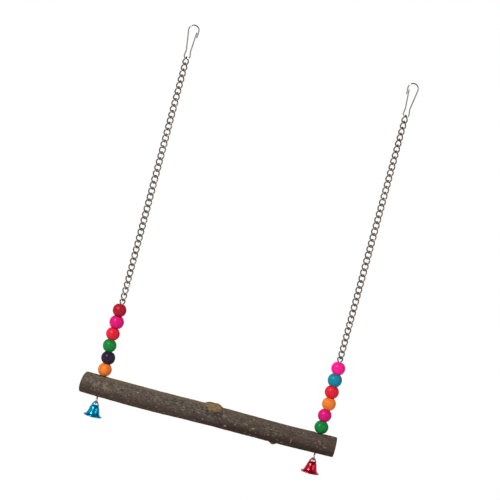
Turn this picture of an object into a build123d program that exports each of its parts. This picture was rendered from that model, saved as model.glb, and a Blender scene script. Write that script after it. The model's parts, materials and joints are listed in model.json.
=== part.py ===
from build123d import *
import os
from math import acos, asin, atan2, cos, degrees, hypot, pi, radians, sin, sqrt, tan

os.makedirs("parts", exist_ok=True)

# A hanging bird swing: a cut branch on two chains, with beads, bells and wire clips.
# Lengths are millimetres. The origin lies midway between the two clips, where the bows
# rest on whatever carries the swing. +Z is up, X runs along the perch, -Y is the front.

# Layout
column_spacing = 172
cut_overrun = 4

# Wire clips at the top
hook_wire = 1.0
hook_inside_length = 25.1
bow_inside_width = 6.9
waist_inside_width = 2.4
waist_height = 5.7
toe_inside_width = 3.4
waist_bend = 3.0
tail_length = 5.0
tail_lean_share = 0.5
latch_length = 4.0
gate_gap = 0.2
gate_bend = 6.0

# Chain of twisted wire ovals, all lying the same way
link_wire = 1.1
link_inside_length = 4.86
link_inside_width = 3.3
link_clearance = 0.2
link_count = 41
link_twist = 90
chain_turn = 70
link_rings = 10
link_sides = 6

# Wires that carry the beads and the perch, with an eye at each end
eye_wire = 1.2
eye_inside_width = 2.4
upper_eye_height = 5.0
lower_eye_height = 6.0
eye_bend = 1.6
eye_tail = 2.2
stem_jog = 3.4

# Wooden beads, top to bottom
bead_diameter = 10.7
bead_length_share = 0.867
bead_hole = 3.6
bead_gap = 0.12
bead_diameter_shares = {
    "left": (0.99, 1.05, 0.99, 0.985, 1.015, 0.99),
    "right": (1.02, 1.03, 1.02, 1.0, 0.98, 1.01),
}
bead_shift_shares = {
    "left": (-0.75, -0.22, -0.67, -0.78, 0.32, 0.16),
    "right": (0.7, 0.2, 0.3, 0.5, -0.2, -0.3),
}

# Perch, a cut branch with its bark on
perch_overhang = 13.6
perch_diameter = 16.5
perch_hole = 2.9
# Each row: place along half the column spacing, then top, bottom and front reach of the radius
perch_station_shares = (
    (-1.0, 1.0, 1.04, 0.01),
    (-0.72, 0.966, 1.105, -0.03),
    (-0.3, 0.98, 1.06, 0.03),
    (0.08, 0.975, 0.98, 0.02),
    (0.4, 0.93, 1.0, -0.03),
    (0.78, 0.93, 0.98, -0.02),
    (1.0, 1.0, 0.93, 0.02),
)
left_end_shares = (1.015, 0.966, 0.0)
right_end_shares = (1.03, 0.88, 0.03)
left_cut_turn = 12.5
left_cut_lean = 5.0
right_cut_turn = 2.5
right_cut_lean = 1.0

# Scar of a pruned side branch, up and to the front, and a small bud scar below
knot_place_share = 0.022
knot_length = 22.0
knot_width = 12.4
knot_face_length = 13.4
knot_face_width = 8.5
knot_rise = 1.6
knot_turn = 44
bud_place_share = 0.61
bud_length = 11.0
bud_width = 8.0
bud_face_length = 2.6
bud_face_width = 2.0
bud_rise = 1.5
bud_turn = 165
scar_root_share = 0.6

# Bells, each with a wire loop through the crown and a clapper
bell_width = 14.6
bell_height = 9.2
bell_wall = 0.5
bell_lip = 1.1
bell_outline_shares = (
    (0.985, 0.045),
    (0.87, 0.115),
    (0.75, 0.205),
    (0.67, 0.33),
    (0.615, 0.48),
    (0.565, 0.63),
    (0.50, 0.78),
    (0.40, 0.90),
    (0.23, 0.98),
    (0.0, 1.0),
)
bell_loop_wire = 1.2
bell_loop_rise = 3.0
bell_loop_top_width = 1.7
bell_loop_base_width = 3.6
bell_loop_depth = 3.4
bell_loop_play = 0.35
clapper_ball = 3.0
clapper_wire = 0.7
clapper_ring_inside = 1.8
clapper_drop = 1.2

# Places that follow from the sizes, from the clips downwards
sides = {"left": -1, "right": 1}
bow_radius = (bow_inside_width + hook_wire) / 2
bow_z = hook_wire / 2 - bow_radius
toe_radius = (toe_inside_width + hook_wire) / 2
toe_z = toe_inside_width / 2 - hook_inside_length
waist_across = (waist_inside_width + hook_wire) / 2
waist_z = waist_height - hook_inside_length
hook_seat_z = -hook_inside_length - hook_wire / 2

link_half_length = (link_inside_length + link_wire) / 2
link_half_width = (link_inside_width + link_wire) / 2
link_pitch = link_inside_length - link_clearance
first_link_z = hook_seat_z + (hook_wire + link_wire) / 2 + link_clearance - link_half_length
last_link_z = first_link_z - (link_count - 1) * link_pitch

eye_radius = (eye_inside_width + eye_wire) / 2
upper_eye_drop = upper_eye_height - eye_wire / 2 - eye_radius
lower_eye_drop = lower_eye_height - eye_wire / 2 - eye_radius
upper_eye_seat_z = last_link_z - link_half_length + (link_wire + eye_wire) / 2 + link_clearance
bead_top_z = upper_eye_seat_z + eye_wire / 2 - upper_eye_height

bead_length = bead_diameter * bead_length_share
bead_pitch = bead_length + bead_gap
perch_length = column_spacing + 2 * perch_overhang
perch_radius = perch_diameter / 2
perch_z = bead_top_z - len(bead_shift_shares["left"]) * bead_pitch - perch_radius
hole_floor = {
    "left": perch_z - perch_radius * perch_station_shares[0][2],
    "right": perch_z - perch_radius * perch_station_shares[-1][2],
}


def tangent_lean(radius, across, drop):
    """Angle past level at which a line from a point beside a circle touches it."""
    return degrees(atan2(drop, across) - acos(radius / hypot(across, drop)))


def upright(x, z):
    """Plane that faces the front, with its own origin at a height z above x."""
    return Plane((x, 0, z), x_dir=(1, 0, 0), z_dir=(0, -1, 0))


def square_to(path):
    """Plane across the start of a path."""
    return Plane(path @ 0, z_dir=path % 0)


# Clips: bow, fixed leg and toe are one bent wire, and the other leg is the sprung gate
bow_lean = tangent_lean(bow_radius, waist_across, bow_z - waist_z)
tail_lean = bow_lean * tail_lean_share
toe_lean = tangent_lean(toe_radius, waist_across, waist_z - toe_z)
hook_x = -column_spacing / 2
with BuildPart() as left_hook:
    with BuildLine(upright(hook_x, 0)) as hook_path:
        bow = CenterArc((0, bow_z), bow_radius, -tail_lean, 180 + tail_lean + bow_lean)
        toe = CenterArc((0, toe_z), toe_radius, 180 - toe_lean, 180 + 2 * toe_lean)
        tail = PolarLine(bow @ 0, tail_length, -90 - tail_lean)
        FilletPolyline(
            (-bow_radius * cos(radians(bow_lean)), bow_z - bow_radius * sin(radians(bow_lean))),
            (-waist_across, waist_z),
            (-toe_radius * cos(radians(toe_lean)), toe_z + toe_radius * sin(radians(toe_lean))),
            radius=waist_bend,
        )
    hook_wire_path = Wire(hook_path.edges())
    with BuildSketch(square_to(hook_wire_path)):
        Circle(hook_wire / 2)
    sweep(path=hook_wire_path)

# The gate starts just above the toe and ends inside the tail of the bow
gate_foot = (toe_radius * cos(radians(toe_lean)), toe_z + toe_radius * sin(radians(toe_lean)))
gate_rise = (waist_across - gate_foot[0], waist_z - gate_foot[1])
gate_start = gate_gap / hypot(*gate_rise)
tail_foot = (
    bow_radius * cos(radians(tail_lean)) - tail_length * sin(radians(tail_lean)),
    bow_z - bow_radius * sin(radians(tail_lean)) - tail_length * cos(radians(tail_lean)),
)
gate_offset = hook_wire + gate_gap
latch_foot = (
    tail_foot[0] - gate_offset * cos(radians(tail_lean)),
    tail_foot[1] + gate_offset * sin(radians(tail_lean)),
)
latch_tip = (
    latch_foot[0] + latch_length * sin(radians(tail_lean)),
    latch_foot[1] + latch_length * cos(radians(tail_lean)),
)
with BuildPart() as left_gate:
    with BuildLine(upright(hook_x, 0)) as gate_path:
        FilletPolyline(
            (gate_foot[0] + gate_start * gate_rise[0], gate_foot[1] + gate_start * gate_rise[1]),
            (waist_across, waist_z),
            latch_foot,
            latch_tip,
            radius=(waist_bend, gate_bend),
        )
    gate_wire_path = Wire(gate_path.edges())
    with BuildSketch(square_to(gate_wire_path)):
        Circle(hook_wire / 2)
    sweep(path=gate_wire_path)

with BuildPart() as right_hook:
    mirror(left_hook.part, about=Plane.YZ)
with BuildPart() as right_gate:
    mirror(left_gate.part, about=Plane.YZ)

for name, piece in (
    ("left_hook", left_hook),
    ("left_gate", left_gate),
    ("right_hook", right_hook),
    ("right_gate", right_gate),
):
    piece.part.label = name
    export_step(piece.part, f"parts/{name}.step")


# Chain link: an oval of wire twisted about the chain's line, so that neighbours cross square
def link_section(step):
    """Corners of the wire's section at one step round the oval."""
    turn = 2 * pi * step / link_rings
    half_twist = radians(link_twist) / 2
    lean = half_twist * cos(turn)
    across = Vector(cos(lean), sin(lean), 0)
    aside = Vector(-sin(lean), cos(lean), 0)
    up = Vector(0, 0, 1)
    centre = across * (link_half_width * sin(turn)) + up * (link_half_length * cos(turn))
    run = across * (link_half_width * cos(turn)) - up * (link_half_length * sin(turn))
    run = (run - aside * (link_half_width * half_twist * sin(turn) ** 2)).normalized()
    aside = (aside - run * aside.dot(run)).normalized()
    outward = run.cross(aside)
    corners = []
    for side in range(link_sides):
        angle = 2 * pi * side / link_sides
        corners.append(centre + (outward * cos(angle) + aside * sin(angle)) * (link_wire / 2))
    return corners


link_faces = []
for step in range(link_rings):
    near = link_section(step)
    far = link_section(step + 1)
    for side in range(link_sides):
        after = (side + 1) % link_sides
        link_faces.append(Face(Wire.make_polygon([near[side], near[after], far[after]])))
        link_faces.append(Face(Wire.make_polygon([near[side], far[after], far[side]])))
with BuildPart() as link:
    add(Solid(Shell(link_faces)))

# Each chain is three nodes: the link in the clip, the long run, and the link in the eye.
# The chain turns slowly on its way down, so that both end links sit square on their wires.
for side_name, side in sides.items():
    link_places = []
    for step in range(link_count):
        link_turn = chain_turn / 2 - chain_turn * step / (link_count - 1)
        link_z = first_link_z - step * link_pitch
        link_places.append(Location((side * column_spacing / 2, 0, link_z), (0, 0, link_turn)))
    runs = {"top_link": link_places[:1], "chain": link_places[1:-1], "bottom_link": link_places[-1:]}
    for run_name, places in runs.items():
        with BuildPart() as chain_run:
            with Locations(*places):
                add(link.part)
        chain_run.part.label = f"{side_name}_{run_name}"
        export_step(chain_run.part, f"parts/{side_name}_{run_name}.step")

# Wires: a teardrop eye at each end, the upper one facing the front and the lower one turned
# a quarter round, each with its tail tucked back beside the stem
mouth_across = eye_wire / 2
upper_lean = tangent_lean(eye_radius, mouth_across, upper_eye_drop)
upper_touch_x = eye_radius * cos(radians(upper_lean))
upper_touch_z = upper_eye_drop - eye_radius * sin(radians(upper_lean))
lower_lean = tangent_lean(eye_radius, mouth_across, lower_eye_drop)
lower_touch_x = eye_radius * cos(radians(lower_lean))
lower_touch_z = eye_radius * sin(radians(lower_lean)) - lower_eye_drop
for side_name, side in sides.items():
    stem_x = side * column_spacing / 2
    floor_z = hole_floor[side_name]
    with BuildPart() as eye_pin:
        with BuildLine(upright(stem_x, bead_top_z)) as upper_bend:
            CenterArc((0, upper_eye_drop), eye_radius, -upper_lean, 180 + 2 * upper_lean)
            FilletPolyline(
                (upper_touch_x, upper_touch_z),
                (mouth_across, 0),
                (mouth_across, -eye_tail),
                radius=eye_bend,
            )
            FilletPolyline(
                (-upper_touch_x, upper_touch_z),
                (-mouth_across, 0),
                (-mouth_across, -eye_tail),
                (0, -eye_tail - stem_jog),
                (0, -bead_length),
                radius=(eye_bend, eye_bend, eye_bend),
            )
        lower_plane = Plane((stem_x, 0, floor_z), x_dir=(0, 1, 0), z_dir=(1, 0, 0))
        with BuildLine(lower_plane) as lower_bend:
            CenterArc((0, -lower_eye_drop), eye_radius, 180 - lower_lean, 180 + 2 * lower_lean)
            FilletPolyline(
                (lower_touch_x, lower_touch_z),
                (mouth_across, 0),
                (mouth_across, eye_tail),
                radius=eye_bend,
            )
            FilletPolyline(
                (-lower_touch_x, lower_touch_z),
                (-mouth_across, 0),
                (-mouth_across, eye_tail),
                (0, eye_tail + stem_jog),
                (0, bead_top_z - bead_length - floor_z),
                radius=(eye_bend, eye_bend, eye_bend),
            )
        pin_path = Wire(upper_bend.edges() + lower_bend.edges())
        with BuildSketch(square_to(pin_path)):
            Circle(eye_wire / 2)
        sweep(path=pin_path)
    eye_pin.part.label = f"{side_name}_eye_wire"
    export_step(eye_pin.part, f"parts/{side_name}_eye_wire.step")

# Beads hang loose on the wire, each a little to one side within its hole
for side_name, side in sides.items():
    stem_x = side * column_spacing / 2
    shares = zip(bead_diameter_shares[side_name], bead_shift_shares[side_name])
    for row, (size_share, shift_share) in enumerate(shares):
        wires_across = eye_wire if row == 0 else eye_wire / 2
        bead_x = stem_x + shift_share * (bead_hole / 2 - wires_across)
        bead_z = bead_top_z - row * bead_pitch - bead_length / 2
        ball_radius = bead_diameter * size_share / 2
        half = bead_length / 2
        mouth = sqrt(ball_radius**2 - half**2)
        with BuildPart() as bead:
            with BuildSketch(upright(bead_x, bead_z)):
                with BuildLine():
                    ThreePointArc((mouth, -half), (ball_radius, 0), (mouth, half))
                    Polyline((mouth, half), (0, half), (0, -half), (mouth, -half))
                make_face()
            revolve(axis=Axis((bead_x, 0, bead_z), (0, 0, 1)))
            with Locations((bead_x, 0, bead_z)):
                Cylinder(bead_hole / 2, bead_length + cut_overrun, mode=Mode.SUBTRACT)
        bead.part.label = f"{side_name}_bead_{row + 1}"
        export_step(bead.part, f"parts/{side_name}_bead_{row + 1}.step")

# Perch: a branch that swells and bends a little, sawn off askew at both ends
half_spacing = column_spacing / 2
perch_reach = perch_length / 2 + cut_overrun
perch_rows = [(-perch_reach, *left_end_shares)]
for place_share, top_share, bottom_share, front_share in perch_station_shares:
    perch_rows.append((place_share * half_spacing, top_share, bottom_share, front_share))
perch_rows.append((perch_reach, *right_end_shares))
scars = (
    (knot_place_share, knot_turn, knot_rise, knot_length, knot_width, knot_face_length, knot_face_width),
    (bud_place_share, bud_turn, bud_rise, bud_length, bud_width, bud_face_length, bud_face_width),
)
with BuildPart() as perch:
    for row_x, top_share, bottom_share, front_share in perch_rows:
        with BuildSketch(Plane.YZ.offset(row_x)):
            lift = perch_radius * (top_share - bottom_share) / 2
            with Locations((-perch_radius * front_share, perch_z + lift)):
                Circle(perch_radius * (top_share + bottom_share) / 2)
    loft()
    for place_share, turn, rise, length, width, face_length, face_width in scars:
        scar_plane = Plane(
            (place_share * half_spacing, 0, perch_z),
            x_dir=(1, 0, 0),
            z_dir=(0, -sin(radians(turn)), cos(radians(turn))),
        )
        with BuildSketch(scar_plane.offset(perch_radius * scar_root_share)):
            SlotOverall(length, width)
        with BuildSketch(scar_plane.offset(perch_radius + rise)):
            SlotOverall(face_length, face_width)
        loft()
    for side, turn, lean in ((-1, left_cut_turn, left_cut_lean), (1, right_cut_turn, right_cut_lean)):
        outward = (side, tan(radians(turn)), tan(radians(lean)))
        split(bisect_by=Plane((side * perch_length / 2, 0, perch_z), z_dir=outward), keep=Keep.BOTTOM)
    with Locations((-half_spacing, 0, perch_z), (half_spacing, 0, perch_z)):
        Cylinder(perch_hole / 2, perch_diameter + 2 * cut_overrun, mode=Mode.SUBTRACT)
perch.part.label = "perch"
export_step(perch.part, "parts/perch.step")

# Bells: a thin flared shell, a loop of wire through two holes in its crown, and a clapper
loop_top_radius = (bell_loop_top_width + bell_loop_wire) / 2
loop_base_radius = (bell_loop_base_width + bell_loop_wire) / 2
loop_top_z = bell_height + bell_loop_rise - bell_loop_wire / 2
loop_base_z = bell_height - bell_loop_depth
loop_upper_z = loop_top_z - loop_top_radius
loop_lower_z = loop_base_z + loop_base_radius
loop_splay = degrees(asin((loop_base_radius - loop_top_radius) / (loop_upper_z - loop_lower_z)))
crown_across = sqrt(loop_base_radius**2 - (bell_height - loop_lower_z) ** 2)
crown_hole_x = (crown_across + loop_base_radius) / 2
lower_eye_seat = {name: floor - lower_eye_height + eye_wire / 2 for name, floor in hole_floor.items()}
rim_z = {
    name: seat + (eye_wire + bell_loop_wire) / 2 + link_clearance - loop_top_z
    for name, seat in lower_eye_seat.items()
}
rim_radius = bell_width / 2
inner_radius = rim_radius - bell_wall
inner_height = bell_height - bell_wall
clapper_ring_radius = (clapper_ring_inside + clapper_wire) / 2
ring_top = loop_base_z + (bell_loop_wire + clapper_wire) / 2 + link_clearance
ball_z = clapper_ball / 2 - clapper_drop
for side_name, side in sides.items():
    bell_x = side * column_spacing / 2
    base_z = rim_z[side_name]
    bell_axis = Axis((bell_x, 0, base_z), (0, 0, 1))
    with BuildPart() as bell:
        with BuildSketch(upright(bell_x, base_z)):
            with BuildLine():
                outer = Spline(
                    [(rim_radius * across, bell_height * up) for across, up in bell_outline_shares],
                    tangents=[(-1, 1), (-1, 0)],
                )
                inner = Spline(
                    [
                        (rim_radius * across - bell_wall * min(1, across * 2), inner_height * up)
                        for across, up in bell_outline_shares
                    ],
                    tangents=[(-1, 1), (-1, 0)],
                )
                Line(outer @ 1, inner @ 1)
                Line(outer @ 0, inner @ 0)
            make_face()
            with Locations((rim_radius - bell_lip / 2, bell_lip / 2)):
                Circle(bell_lip / 2)
        revolve(axis=bell_axis)
        crown_holes = [(bell_x + turn * crown_hole_x, 0, base_z + bell_height) for turn in (-1, 1)]
        with Locations(*crown_holes):
            Cylinder(bell_loop_wire / 2 + bell_loop_play, 2 * bell_loop_depth, mode=Mode.SUBTRACT)
    bell.part.label = f"{side_name}_bell"
    export_step(bell.part, f"parts/{side_name}_bell.step")

    with BuildPart() as bell_loop:
        with BuildLine(upright(bell_x, base_z)) as loop_path:
            upper_arc = CenterArc((0, loop_upper_z), loop_top_radius, loop_splay, 180 - 2 * loop_splay)
            lower_arc = CenterArc((0, loop_lower_z), loop_base_radius, 180 - loop_splay, 180 + 2 * loop_splay)
            Line(upper_arc @ 1, lower_arc @ 0)
            Line(lower_arc @ 1, upper_arc @ 0)
        loop_wire_path = Wire(loop_path.edges())
        with BuildSketch(square_to(loop_wire_path)):
            Circle(bell_loop_wire / 2)
        sweep(path=loop_wire_path)
    bell_loop.part.label = f"{side_name}_bell_loop"
    export_step(bell_loop.part, f"parts/{side_name}_bell_loop.step")

    ring_z = base_z + ring_top - clapper_ring_radius
    stem_length = ring_z - clapper_ring_radius - base_z - ball_z
    with BuildPart() as clapper:
        with Locations((bell_x, 0, ring_z)):
            Torus(clapper_ring_radius, clapper_wire / 2, rotation=(0, 90, 0))
        with Locations((bell_x, 0, base_z + ball_z)):
            Sphere(clapper_ball / 2)
            Cylinder(clapper_wire / 2, stem_length, align=(Align.CENTER, Align.CENTER, Align.MIN))
    clapper.part.label = f"{side_name}_clapper"
    export_step(clapper.part, f"parts/{side_name}_clapper.step")

# Joint axes for the record
links_meet = link_half_length - (link_wire + link_clearance) / 2
pivots = {
    "swing axis": hook_seat_z,
    "upper sway axis": first_link_z - links_meet,
    "lower sway axis": last_link_z + links_meet,
    "perch tilt axis": upper_eye_seat_z,
    "perch axis": perch_z,
    "left bell axis": lower_eye_seat["left"],
    "right bell axis": lower_eye_seat["right"],
    "left clapper axis": rim_z["left"] + loop_base_z,
    "right clapper axis": rim_z["right"] + loop_base_z,
}
for name, height in pivots.items():
    print(f"{name}: z = {height:.3f}")
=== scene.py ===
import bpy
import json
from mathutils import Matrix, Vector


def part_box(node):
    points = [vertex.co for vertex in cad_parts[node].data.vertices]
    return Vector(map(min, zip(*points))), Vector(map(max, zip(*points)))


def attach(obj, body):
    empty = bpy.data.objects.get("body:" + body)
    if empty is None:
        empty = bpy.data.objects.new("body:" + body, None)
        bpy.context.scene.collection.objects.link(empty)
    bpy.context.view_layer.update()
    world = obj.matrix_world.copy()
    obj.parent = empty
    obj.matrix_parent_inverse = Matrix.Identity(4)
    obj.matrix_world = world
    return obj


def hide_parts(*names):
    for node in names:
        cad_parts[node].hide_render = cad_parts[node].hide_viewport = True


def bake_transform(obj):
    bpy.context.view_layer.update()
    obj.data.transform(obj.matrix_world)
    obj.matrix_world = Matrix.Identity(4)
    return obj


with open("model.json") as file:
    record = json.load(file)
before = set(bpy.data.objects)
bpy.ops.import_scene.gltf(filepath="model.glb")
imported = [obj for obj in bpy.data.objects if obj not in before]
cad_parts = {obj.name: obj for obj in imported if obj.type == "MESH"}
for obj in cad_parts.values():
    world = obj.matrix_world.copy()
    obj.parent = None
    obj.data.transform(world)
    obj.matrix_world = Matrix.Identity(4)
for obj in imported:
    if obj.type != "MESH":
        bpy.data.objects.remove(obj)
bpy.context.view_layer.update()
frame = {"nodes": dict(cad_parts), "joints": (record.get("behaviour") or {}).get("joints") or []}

import json
from math import acos, asin, atan2, ceil, cos, degrees, hypot, pi, radians, sin, sqrt, tan

import bpy
import numpy as np
from mathutils import Matrix, Vector
from mathutils.bvhtree import BVHTree

# The looks of a hanging bird swing: a branch perch, twisted chains, clips, beads and bells.
# Lengths are written in millimetres and become metres where a mesh is made.
MM = 0.001
SIDES = {"left": -1, "right": 1}
PIVOT = {joint["name"]: [part / MM for part in joint["pos_m"]] for joint in frame["joints"]}
HALF_SPACING = PIVOT["right_swing"][0]

# Wire clips
HOOK_WIRE = 1.0
BOW_RADIUS = 3.95
BOW_Z = -3.45
TOE_RADIUS = 2.2
TOE_Z = -23.4
WAIST_ACROSS = 1.7
WAIST_Z = -19.4
WAIST_BEND = 3.0
TAIL_LENGTH = 5.0
TAIL_LEAN_SHARE = 0.5
LATCH_LENGTH = 4.0
GATE_OFFSET = 1.2
GATE_BEND = 6.0

# Chain links
LINK_WIRE = 1.1
LINK_HALF_LENGTH = 2.98
LINK_HALF_WIDTH = 2.2
LINK_PITCH = 4.66
LINK_COUNT = 41
LINK_TWIST = 90
CHAIN_TURN = 70
FIRST_LINK_Z = -27.33

# Wires through the beads and the perch
EYE_WIRE = 1.2
EYE_RADIUS = 1.8
EYE_HEIGHTS = {"upper": 5.0, "lower": 6.0}
EYE_BEND = 1.6
EYE_TAIL = 2.2
STEM_JOG = 3.4
BEAD_HOLE = 3.6

# Perch
PERCH_Z = -284.391
PERCH_RADIUS = 8.25
PERCH_HALF_LENGTH = 99.6
PERCH_HOLE = 2.9
CUTS = {-1: (12.5, 5.0), 1: (2.5, 1.0)}
KNOT = {"x": 1.9, "turn": 52}
BUD = {"x": 52.5, "turn": -75}

# Bells
BELL_RADIUS = 7.3
BELL_HEIGHT = 9.2
BELL_WALL = 0.5
BELL_LIP = 0.55
BELL_OUTLINE = (
    (0.87, 0.115), (0.75, 0.205), (0.67, 0.33), (0.615, 0.48), (0.565, 0.63), (0.50, 0.78), (0.40, 0.90),
    (0.23, 0.98), (0.0, 1.0),
)
BELL_LOOP_WIRE = 1.2
BELL_LOOP_PLAY = 0.35
LOOP_TOP_RADIUS = 1.45
LOOP_BASE_RADIUS = 2.4
LOOP_UPPER = 10.15
LOOP_LOWER = 8.2
CLAPPER_WIRE = 0.7
CLAPPER_RING = 1.25
CLAPPER_RING_Z = 5.7
CLAPPER_BALL_Z = 0.3
CLAPPER_BALL = 1.5
CLAPPER_NECK = 0.6

# Meshes of wire: sides round each kind, and the broken edge of a sawn end in radii
CLIP_SIDES = 18
LOOP_SIDES = 14
RING_SIDES = 12
END_BEVEL = np.array([0, 0.4, 1]) * 0.28
END_SWELL = np.array([0.72, 0.9, 1])


def unit(vectors):
    """The same directions at length one."""
    vectors = np.asarray(vectors, float)
    return vectors / np.linalg.norm(vectors, axis=-1, keepdims=True)


def smooth(low, high, value):
    """0 below low, 1 above high, and an even bend between."""
    share = np.clip((np.asarray(value, float) - low) / (high - low), 0, 1)
    return share * share * (3 - 2 * share)


def full_turn(steps):
    """Even angles once round."""
    return np.arange(steps) * 2 * pi / steps


def lattice_noise(cells, seed):
    """Smooth noise from -1 to 1, with places given in cells of its lattice."""
    cells = np.asarray(cells, float)
    corner = np.floor(cells).astype(np.int64)
    share = cells - corner
    share = share * share * share * (share * (share * 6 - 15) + 10)
    total = np.zeros(cells.shape[:-1])
    for step in np.ndindex(2, 2, 2):
        x, y, z = (corner[..., axis] + step[axis] for axis in range(3))
        mixed = (x * 73856093) ^ (y * 19349663) ^ (z * 83492791) ^ (seed * 26544357)
        mixed = ((mixed ^ (mixed >> 13)) * 1274126177) & 0x7FFFFFFF
        mixed = ((mixed ^ (mixed >> 15)) * 22695477) & 0x7FFFFFFF
        value = (mixed & 0xFFFF) / 32767.5 - 1
        for axis in range(3):
            value = value * (share[..., axis] if step[axis] else 1 - share[..., axis])
        total += value
    return total


# Meshes


def placed(name, data):
    """A new object in the scene."""
    made = bpy.data.objects.new(name, data)
    bpy.context.scene.collection.objects.link(made)
    return made


def piece(name, body, node, slot, parts, attributes=None, crease=40):
    """A shown mesh that stands for a CAD node, moves with a body and takes its finish from a slot."""
    points, faces = parts
    mesh = bpy.data.meshes.new(name)
    mesh.from_pydata((np.asarray(points) * MM).tolist(), [], faces)
    mesh.polygons.foreach_set("use_smooth", [True] * len(mesh.polygons))
    mesh.set_sharp_from_angle(angle=radians(crease))
    for key, values in (attributes or {}).items():
        layer = mesh.attributes.new(key, "FLOAT", "POINT")
        layer.data.foreach_set("value", np.asarray(values, np.float32))
    mesh.materials.append(FINISHES[slot])
    shown = placed(name, mesh)
    if body:
        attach(shown, body)
    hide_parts(node)
    return shown


def join(*parts):
    """Several sets of points and faces as one."""
    points, faces, start = [], [], 0
    for some_points, some_faces in parts:
        points.append(np.asarray(some_points, float))
        faces += [[corner + start for corner in face] for face in some_faces]
        start += len(some_points)
    return np.concatenate(points), faces


def grid_faces(rows, columns, closed_rows):
    """Quads of a grid whose columns wrap round, and whose rows may."""
    faces = []
    for row in range(rows if closed_rows else rows - 1):
        here, after = row * columns, (row + 1) % rows * columns
        for column in range(columns):
            beside = (column + 1) % columns
            faces.append((here + column, here + beside, after + beside, after + column))
    return faces


def tube(path, radius, sides=16, closed=False, aside=None, swell=None, goes_on=(None, None)):
    """A round wire along a path.

    An open one has sawn ends with their edges broken, except at an end that goes on, in a given direction,
    as another piece.
    """
    path = np.asarray(path, float)
    swell = np.ones(len(path)) if swell is None else np.asarray(swell, float)
    if closed:
        run = unit(np.roll(path, -1, 0) - np.roll(path, 1, 0))
    else:
        first = unit(path[1] - path[0]) if goes_on[0] is None else goes_on[0]
        last = unit(path[-1] - path[-2]) if goes_on[1] is None else goes_on[1]
        bevel = END_BEVEL[:, None] * radius
        head, head_swell = path[:1], [1]
        if goes_on[0] is None:
            head, head_swell = path[0] + first * bevel, END_SWELL
        foot, foot_swell = path[-1:], [1]
        if goes_on[1] is None:
            foot, foot_swell = path[-1] - last * bevel[::-1], END_SWELL[::-1]
        path = np.concatenate([head, path[1:-1], foot])
        swell = np.concatenate([head_swell, swell[1:-1], foot_swell])
        run = unit(np.gradient(path, axis=0))
        run[:len(head)], run[-len(foot):] = first, last
    if aside is None:
        across = unit(np.cross(run[0], (0.3, 0.2, 1.0) if abs(run[0][2]) < 0.9 else (0.1, 1.0, 0.2)))
        aside = [across]
        for direction in run[1:]:
            across = unit(across - direction * (across @ direction))
            aside.append(across)
        aside = np.array(aside)
    else:
        aside = np.broadcast_to(np.asarray(aside, float), run.shape)
        aside = unit(aside - run * np.sum(aside * run, 1, keepdims=True))
    outward = np.cross(run, aside)
    turn = full_turn(sides)
    ring = outward[:, None] * np.cos(turn)[:, None] + aside[:, None] * np.sin(turn)[:, None]
    points = (path[:, None] + ring * (radius * swell)[:, None, None]).reshape(-1, 3)
    faces = grid_faces(len(path), sides, closed)
    if not closed:
        faces.append(tuple(range(sides))[::-1])
        faces.append(tuple(range((len(path) - 1) * sides, len(path) * sides)))
    return points, faces


def lathe(profile, sides, centre, closed=False):
    """A profile of radius and height turned about Z. An open one runs from pole to pole."""
    profile = np.asarray(profile, float)
    turn = full_turn(sides)
    rings = profile if closed else profile[1:-1]
    points = np.stack([
        np.outer(rings[:, 0], np.cos(turn)), np.outer(rings[:, 0], np.sin(turn)),
        np.repeat(rings[:, 1:], sides, 1),
    ], -1).reshape(-1, 3)
    faces = grid_faces(len(rings), sides, closed)
    if not closed:
        points = np.concatenate([points, [(0, 0, profile[0][1]), (0, 0, profile[-1][1])]])
        first, last, end = len(points) - 2, len(points) - 1, (len(rings) - 1) * sides
        for side in range(sides):
            beside = (side + 1) % sides
            faces.append((first, beside, side))
            faces.append((last, end + side, end + beside))
    return points + np.asarray(centre, float), faces


# Paths of bent wire, each in a plane of its own


def arc(centre, radius, start, sweep, step=6):
    """Points along an arc, with its angles in degrees."""
    turns = np.radians(np.linspace(start, start + sweep, int(ceil(abs(sweep) / step)) + 1))
    return np.stack([centre[0] + radius * np.cos(turns), centre[1] + radius * np.sin(turns)], -1)


def bent(points, *radii):
    """A line through points whose corners are rounded."""
    points = [np.array(point, float) for point in points]
    path = [points[0]]
    for before, corner, after, radius in zip(points, points[1:], points[2:], radii):
        back, on = unit(before - corner), unit(after - corner)
        half = acos(np.clip(back @ on, -1, 1)) / 2
        centre = corner + unit(back + on) * radius / sin(half)
        start = corner + back * radius / tan(half) - centre
        end = corner + on * radius / tan(half) - centre
        for share in np.linspace(0, 1, 9):
            path.append(centre + unit(start * (1 - share) + end * share) * radius)
    return np.array(path + [points[-1]])


def even(path, step=0.35, closed=False):
    """The same path with its points at even steps."""
    path = np.asarray(path, float)
    if closed:
        path = np.concatenate([path, path[:1]])
    gone = np.concatenate([[0], np.cumsum(np.linalg.norm(np.diff(path, axis=0), axis=1))])
    keep = np.concatenate([[True], np.diff(gone) > 1e-6])
    path, gone = path[keep], gone[keep]
    places = np.linspace(0, gone[-1], int(ceil(gone[-1] / step)) + 1)
    points = np.stack([np.interp(places, gone, path[:, axis]) for axis in range(path.shape[1])], -1)
    return points[:-1] if closed else points


def facing(path, x, z, sign=1):
    """A path in the plane that faces the front, set at a place and mirrored where sign is -1."""
    path = np.asarray(path, float)
    return np.stack([x + sign * path[:, 0], np.zeros(len(path)), z + path[:, 1]], -1)


def tangent_lean(radius, across, drop):
    """Degrees past level at which a line from a point beside a circle touches it."""
    return degrees(atan2(drop, across) - acos(radius / hypot(across, drop)))


# Materials


def tint(red, green, blue):
    """A colour given as it is seen, 0 to 255, as the light it stands for."""
    seen = [part / 255 for part in (red, green, blue)]
    light = [((part + 0.055) / 1.055) ** 2.4 if part > 0.04 else part / 12.92 for part in seen]
    return (*light, 1.0)


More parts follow.
